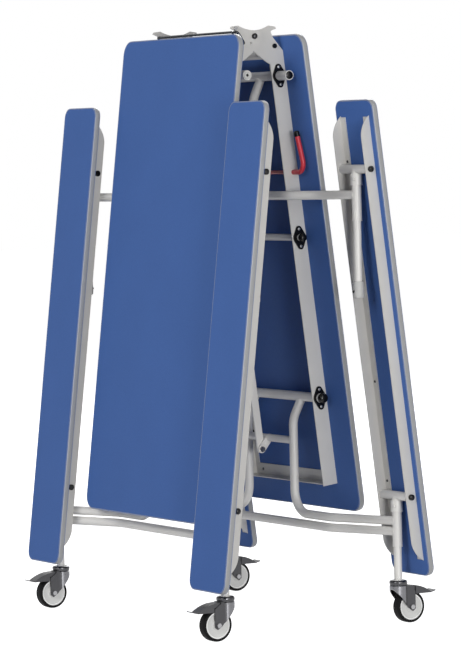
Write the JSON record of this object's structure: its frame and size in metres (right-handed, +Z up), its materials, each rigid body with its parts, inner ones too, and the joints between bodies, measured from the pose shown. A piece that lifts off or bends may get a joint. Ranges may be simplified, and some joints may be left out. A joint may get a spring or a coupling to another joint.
{
  "type": "folding cafeteria table with benches",
  "caption": "Mobile folding lunch table with attached benches, two laminate halves folded upright on a leg linkage, with a locking hinge and braked swivel casters.",
  "frame": {"origin": "on the floor, midway between the two folded halves, on the table's centre line", "axes": "+Z up, X from half a to half b across the folded halves, Y along the main hinge"},
  "size_m": [0.8762, 1.284, 1.8745],
  "materials": {
    "laminate": "blue high-pressure laminate, fine texture",
    "edge_band": "light grey moulded edge band",
    "grey_enamel": "light grey powder coat, smooth",
    "zinc": "zinc plated",
    "black_plastic": "black moulded nylon",
    "foot_plastic": "light grey moulded glide foot",
    "red_grip": "red dipped vinyl",
    "caster_steel": "dark grey caster frame",
    "hub_white": "off-white moulded wheel centre",
    "tyre_rubber": "black solid rubber tread"
  },
  "bodies": {
    "lower_frame_a": {"lower_frame_a": "grey_enamel", "caster_stems_a": "zinc", "lower_bench_bolts_a": "black_plastic"},
    "table_a": {"table_top_a": "laminate", "table_edge_a": "edge_band", "table_rails_a": "grey_enamel", "hinge_plates_a": "grey_enamel", "bearings_a": "black_plastic", "main_hinge_bolts": "black_plastic"},
    "upper_frame_a": {"upper_frame_a": "grey_enamel", "upper_slide_legs_a": "grey_enamel", "glide_feet_a": "foot_plastic", "upper_bench_bolts_a": "black_plastic"},
    "crank_a": {"crank_shaft_a": "grey_enamel"},
    "lift_link_a": {"lift_link_a": "grey_enamel"},
    "bench_left_a": {"bench_seat_left_a": "laminate", "bench_edge_left_a": "edge_band", "bench_rails_left_a": "grey_enamel"},
    "caster_left_a": {"caster_fork_left_a": "caster_steel"},
    "wheel_left_a": {"wheel_hub_left_a": "hub_white", "tyre_left_a": "tyre_rubber"},
    "brake_left_a": {"brake_pedal_left_a": "caster_steel"},
    "bench_right_a": {"bench_seat_right_a": "laminate", "bench_edge_right_a": "edge_band", "bench_rails_right_a": "grey_enamel"},
    "caster_right_a": {"caster_fork_right_a": "caster_steel"},
    "wheel_right_a": {"wheel_hub_right_a": "hub_white", "tyre_right_a": "tyre_rubber"},
    "brake_right_a": {"brake_pedal_right_a": "caster_steel"},
    "lower_frame_b": {"lower_frame_b": "grey_enamel", "caster_stems_b": "zinc", "lower_bench_bolts_b": "black_plastic"},
    "table_b": {"table_top_b": "laminate", "table_edge_b": "edge_band", "table_rails_b": "grey_enamel", "hinge_plates_b": "grey_enamel", "bearings_b": "black_plastic"},
    "upper_frame_b": {"upper_frame_b": "grey_enamel", "upper_slide_legs_b": "grey_enamel", "glide_feet_b": "foot_plastic", "upper_bench_bolts_b": "black_plastic"},
    "crank_b": {"crank_shaft_b": "grey_enamel"},
    "lift_link_b": {"lift_link_b": "grey_enamel"},
    "bench_left_b": {"bench_seat_left_b": "laminate", "bench_edge_left_b": "edge_band", "bench_rails_left_b": "grey_enamel"},
    "caster_left_b": {"caster_fork_left_b": "caster_steel"},
    "wheel_left_b": {"wheel_hub_left_b": "hub_white", "tyre_left_b": "tyre_rubber"},
    "brake_left_b": {"brake_pedal_left_b": "caster_steel"},
    "bench_right_b": {"bench_seat_right_b": "laminate", "bench_edge_right_b": "edge_band", "bench_rails_right_b": "grey_enamel"},
    "caster_right_b": {"caster_fork_right_b": "caster_steel"},
    "wheel_right_b": {"wheel_hub_right_b": "hub_white", "tyre_right_b": "tyre_rubber"},
    "brake_right_b": {"brake_pedal_right_b": "caster_steel"},
    "release_handle": {"release_handle": "red_grip"},
    "locking_bail": {"locking_bail": "zinc"}
  },
  "joints": [
    {"name": "fold", "type": "hinge", "parent": "lower_frame_a", "child": "table_a", "pos_m": [-0.21607, 0, 0.697], "axis": [0, 1, 0], "range_deg": [0, 83]},
    {"name": "main_hinge", "type": "hinge", "parent": "table_a", "child": "table_b", "pos_m": [0, 0, 1.84131], "axis": [0, -1, 0], "range_deg": [0, 166]},
    {"name": "lower_frame_pivot_b", "type": "hinge", "parent": "table_b", "child": "lower_frame_b", "pos_m": [0.21607, 0, 0.697], "axis": [0, 1, 0], "range_deg": [0, 83]},
    {"name": "upper_frame_pivot_a", "type": "hinge", "parent": "table_a", "child": "upper_frame_a", "pos_m": [-0.09077, 0, 1.71744], "axis": [0, -1, 0], "range_deg": [0, 83]},
    {"name": "crank_pivot_a", "type": "hinge", "parent": "table_a", "child": "crank_a", "pos_m": [-0.15342, 0, 1.20722], "axis": [0, -1, 0], "range_deg": [0, 83]},
    {"name": "lift_link_pivot_a", "type": "hinge", "parent": "lower_frame_a", "child": "lift_link_a", "pos_m": [-0.18707, 0, 0.517], "axis": [0, 1, 0], "range_deg": [0, 83]},
    {"name": "bench_pivot_left_a", "type": "hinge", "parent": "lower_frame_a", "child": "bench_left_a", "pos_m": [-0.31307, 0.535, 0.4], "axis": [0, 1, 0], "range_deg": [0, 83]},
    {"name": "bench_pivot_right_a", "type": "hinge", "parent": "lower_frame_a", "child": "bench_right_a", "pos_m": [-0.31307, -0.535, 0.4], "axis": [0, 1, 0], "range_deg": [0, 83]},
    {"name": "upper_frame_pivot_b", "type": "hinge", "parent": "table_b", "child": "upper_frame_b", "pos_m": [0.09077, 0, 1.71744], "axis": [0, 1, 0], "range_deg": [0, 83]},
    {"name": "crank_pivot_b", "type": "hinge", "parent": "table_b", "child": "crank_b", "pos_m": [0.15342, 0, 1.20722], "axis": [0, 1, 0], "range_deg": [0, 83]},
    {"name": "lift_link_pivot_b", "type": "hinge", "parent": "lower_frame_b", "child": "lift_link_b", "pos_m": [0.18707, 0, 0.517], "axis": [0, -1, 0], "range_deg": [0, 83]},
    {"name": "bench_pivot_left_b", "type": "hinge", "parent": "lower_frame_b", "child": "bench_left_b", "pos_m": [0.31307, -0.535, 0.4], "axis": [0, -1, 0], "range_deg": [0, 83]},
    {"name": "bench_pivot_right_b", "type": "hinge", "parent": "lower_frame_b", "child": "bench_right_b", "pos_m": [0.31307, 0.535, 0.4], "axis": [0, -1, 0], "range_deg": [0, 83]},
    {"name": "caster_swivel_left_a", "type": "hinge", "parent": "lower_frame_a", "child": "caster_left_a", "pos_m": [-0.31307, 0.535, 0.12], "axis": [0, 0, 1], "continuous": true},
    {"name": "wheel_spin_left_a", "type": "hinge", "parent": "caster_left_a", "child": "wheel_left_a", "pos_m": [-0.35007, 0.535, 0.05], "axis": [0, -1, 0], "continuous": true},
    {"name": "brake_pedal_left_a", "type": "hinge", "parent": "caster_left_a", "child": "brake_left_a", "pos_m": [-0.33707, 0.535, 0.109], "axis": [0, -1, 0], "range_deg": [0, 2]},
    {"name": "caster_swivel_right_a", "type": "hinge", "parent": "lower_frame_a", "child": "caster_right_a", "pos_m": [-0.31307, -0.535, 0.12], "axis": [0, 0, 1], "continuous": true},
    {"name": "wheel_spin_right_a", "type": "hinge", "parent": "caster_right_a", "child": "wheel_right_a", "pos_m": [-0.35007, -0.535, 0.05], "axis": [0, -1, 0], "continuous": true},
    {"name": "brake_pedal_right_a", "type": "hinge", "parent": "caster_right_a", "child": "brake_right_a", "pos_m": [-0.33707, -0.535, 0.109], "axis": [0, -1, 0], "range_deg": [0, 2]},
    {"name": "caster_swivel_left_b", "type": "hinge", "parent": "lower_frame_b", "child": "caster_left_b", "pos_m": [0.31307, -0.535, 0.12], "axis": [0, 0, 1], "continuous": true},
    {"name": "wheel_spin_left_b", "type": "hinge", "parent": "caster_left_b", "child": "wheel_left_b", "pos_m": [0.35007, -0.535, 0.05], "axis": [0, 1, 0], "continuous": true},
    {"name": "brake_pedal_left_b", "type": "hinge", "parent": "caster_left_b", "child": "brake_left_b", "pos_m": [0.33707, -0.535, 0.109], "axis": [0, 1, 0], "range_deg": [0, 2]},
    {"name": "caster_swivel_right_b", "type": "hinge", "parent": "lower_frame_b", "child": "caster_right_b", "pos_m": [0.31307, 0.535, 0.12], "axis": [0, 0, 1], "continuous": true},
    {"name": "wheel_spin_right_b", "type": "hinge", "parent": "caster_right_b", "child": "wheel_right_b", "pos_m": [0.35007, 0.535, 0.05], "axis": [0, 1, 0], "continuous": true},
    {"name": "brake_pedal_right_b", "type": "hinge", "parent": "caster_right_b", "child": "brake_right_b", "pos_m": [0.33707, 0.535, 0.109], "axis": [0, 1, 0], "range_deg": [0, 2]},
    {"name": "release_handle_turn", "type": "hinge", "parent": "table_b", "child": "release_handle", "pos_m": [0.13712, 0, 1.41383], "axis": [0, -1, 0], "range_deg": [0, 25], "stiffness_Nm_per_rad": 1, "springref_deg": -17.19},
    {"name": "locking_bail_lift", "type": "hinge", "parent": "table_a", "child": "locking_bail", "pos_m": [-0.04522, 0, 1.81764], "axis": [0, -1, 0], "range_deg": [0, 20], "stiffness_Nm_per_rad": 1, "springref_deg": -22.92}
  ],
  "couplings": [
    {"joint": "main_hinge", "follows": "fold", "ratio": 2},
    {"joint": "lower_frame_pivot_b", "follows": "fold", "ratio": 1},
    {"joint": "upper_frame_pivot_a", "follows": "fold", "ratio": 1},
    {"joint": "crank_pivot_a", "follows": "fold", "ratio": 1},
    {"joint": "lift_link_pivot_a", "follows": "fold", "ratio": 1},
    {"joint": "bench_pivot_left_a", "follows": "fold", "ratio": 1},
    {"joint": "bench_pivot_right_a", "follows": "fold", "ratio": 1},
    {"joint": "upper_frame_pivot_b", "follows": "fold", "ratio": 1},
    {"joint": "crank_pivot_b", "follows": "fold", "ratio": 1},
    {"joint": "lift_link_pivot_b", "follows": "fold", "ratio": 1},
    {"joint": "bench_pivot_left_b", "follows": "fold", "ratio": 1},
    {"joint": "bench_pivot_right_b", "follows": "fold", "ratio": 1}
  ]
}
